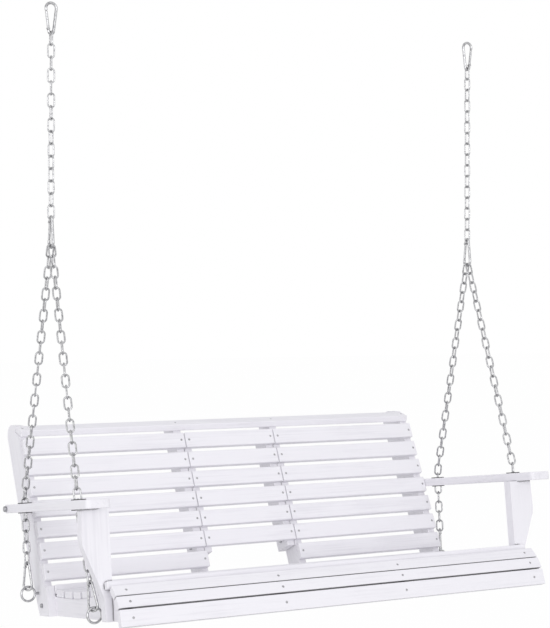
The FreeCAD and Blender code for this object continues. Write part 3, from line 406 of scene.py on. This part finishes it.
def add_gate_hinge(shape, spot, axis, wire):
    """A cheek plate and a rivet button on each side of a gate's pivot."""
    for way in (axis, -axis):
        cheek = standing(spot + way * (wire / 2 + CHEEK_THICK / 2 - CHEEK_SUNK), way)
        bmesh.ops.create_cone(shape, cap_ends=True, segments=20, radius1=wire * CHEEK_FOOT,
                              radius2=wire * CHEEK_TOP, depth=CHEEK_THICK, matrix=cheek)
        button = standing(spot + way * (wire / 2 + CHEEK_THICK - CHEEK_SUNK), way)
        flat = Matrix.Diagonal((RIVET_RADIUS, RIVET_RADIUS, RIVET_HEAD, 1))
        bmesh.ops.create_uvsphere(shape, u_segments=12, v_segments=6, radius=1, matrix=button @ flat)


hinges = {"hangers": bmesh.new(), "bench": bmesh.new()}
for joint in frame["joints"]:
    if joint["name"].endswith("_gate_open"):
        where = joint["name"].split("_")[1]
        add_gate_hinge(hinges[joint["parent"]], Vector(joint["pos_m"]), Vector(joint["axis"]), HOOK_WIRE[where])
metal_piece("top_hook_hinges", hinges["hangers"], zinc, "hangers")
metal_piece("chain_hook_hinges", hinges["bench"], zinc, "bench")

# Camera at the photograph's viewing angle: level, off to the left of the bench
CAMERA_AT = (-2.3264, -4.1763, -0.8235)
CAMERA_YAW = math.radians(29.16)
PICTURE_WIDTH = 550
FOCAL_PIXELS = 1629.9
HORIZON_ABOVE_MIDDLE = 7.5
SENSOR = 36
camera_data = bpy.data.cameras.new("camera")
camera_data.sensor_fit = "HORIZONTAL"
camera_data.sensor_width = SENSOR
camera_data.lens = SENSOR * FOCAL_PIXELS / PICTURE_WIDTH
camera_data.shift_y = -HORIZON_ABOVE_MIDDLE / PICTURE_WIDTH
camera = bpy.data.objects.new("camera", camera_data)
camera.location = CAMERA_AT
camera.rotation_euler = (QUARTER_TURN, 0, -CAMERA_YAW)
bpy.context.collection.objects.link(camera)
bpy.context.scene.camera = camera


# Soft studio light
BENCH_MIDDLE = Vector((0, 0, -1.45))


def soft_box(name, at, width, height, power):
    """A soft lamp that points at the bench."""
    data = bpy.data.lights.new(name, "AREA")
    data.shape = "RECTANGLE"
    data.size = width
    data.size_y = height
    data.energy = power
    lamp = bpy.data.objects.new(name, data)
    lamp.location = at
    lamp.rotation_euler = (BENCH_MIDDLE - Vector(at)).to_track_quat("-Z", "Y").to_euler()
    bpy.context.collection.objects.link(lamp)
    lamp.visible_camera = False


soft_box("key", at=(-1.8, -12.0, 0.4), width=5.0, height=4.0, power=420)
soft_box("fill", at=(-5.2, -0.9, -0.7), width=3.2, height=2.6, power=40)


def seen_or_mirrored(tree):
    """1 where the eye, a reflection or a clear body looks, 0 where light falls on the bench."""
    path = node(tree, "ShaderNodeLightPath")
    seen = path.outputs["Is Camera Ray"]
    for ray in ("Is Glossy Ray", "Is Transmission Ray"):
        either = node(tree, "ShaderNodeMath", operation="MAXIMUM")
        tree.links.new(seen, either.inputs[0])
        tree.links.new(path.outputs[ray], either.inputs[1])
        seen = either.outputs[0]
    return seen


WHITE = (1, 1, 1, 1)
SKY_COLOUR = (0.97, 0.975, 1.0, 1)
SKY_STRENGTH = 0.80
world = bpy.data.worlds.new("studio")
bpy.context.scene.world = world
world.use_nodes = True
sky = world.node_tree
sky.nodes.clear()
light = node(sky, "ShaderNodeBackground", Color=SKY_COLOUR, Strength=SKY_STRENGTH)
white = node(sky, "ShaderNodeBackground", Color=WHITE, Strength=1)
choice = node(sky, "ShaderNodeMixShader")
sky_out = node(sky, "ShaderNodeOutputWorld")
sky.links.new(seen_or_mirrored(sky), choice.inputs["Fac"])
sky.links.new(light.outputs[0], choice.inputs[1])
sky.links.new(white.outputs[0], choice.inputs[2])
sky.links.new(choice.outputs[0], sky_out.inputs["Surface"])

# Pale floor well below the hanging bench
FLOOR_Z = -2.04
FLOOR_HALF = 30
FLOOR_GLOW = 0.985
FLOOR_COLOUR = (0.7, 0.7, 0.7, 1)
FLOOR_ROUGHNESS = 0.9
floor_mesh = bpy.data.meshes.new("floor")
plate = bmesh.new()
floor_place = Matrix.Translation((0, 0, FLOOR_Z))
bmesh.ops.create_grid(plate, x_segments=1, y_segments=1, size=FLOOR_HALF, matrix=floor_place)
plate.to_mesh(floor_mesh)
plate.free()
floor = bpy.data.objects.new("floor", floor_mesh)
bpy.context.collection.objects.link(floor)
floor_look, floor_tree, floor_shader = new_material("pale_floor")
floor_shader.inputs["Base Color"].default_value = FLOOR_COLOUR
floor_shader.inputs["Roughness"].default_value = FLOOR_ROUGHNESS
glow = node(floor_tree, "ShaderNodeEmission", Color=WHITE, Strength=1)
share = node(floor_tree, "ShaderNodeMath", operation="MULTIPLY")
share.inputs[1].default_value = FLOOR_GLOW
floor_mix = node(floor_tree, "ShaderNodeMixShader")
floor_tree.links.new(seen_or_mirrored(floor_tree), share.inputs[0])
floor_tree.links.new(share.outputs[0], floor_mix.inputs["Fac"])
floor_tree.links.new(floor_shader.outputs[0], floor_mix.inputs[1])
floor_tree.links.new(glow.outputs[0], floor_mix.inputs[2])
floor_tree.links.new(floor_mix.outputs[0], floor_tree.nodes["Material Output"].inputs["Surface"])
floor_mesh.materials.append(floor_look)

bpy.context.scene.view_settings.view_transform = "Standard"
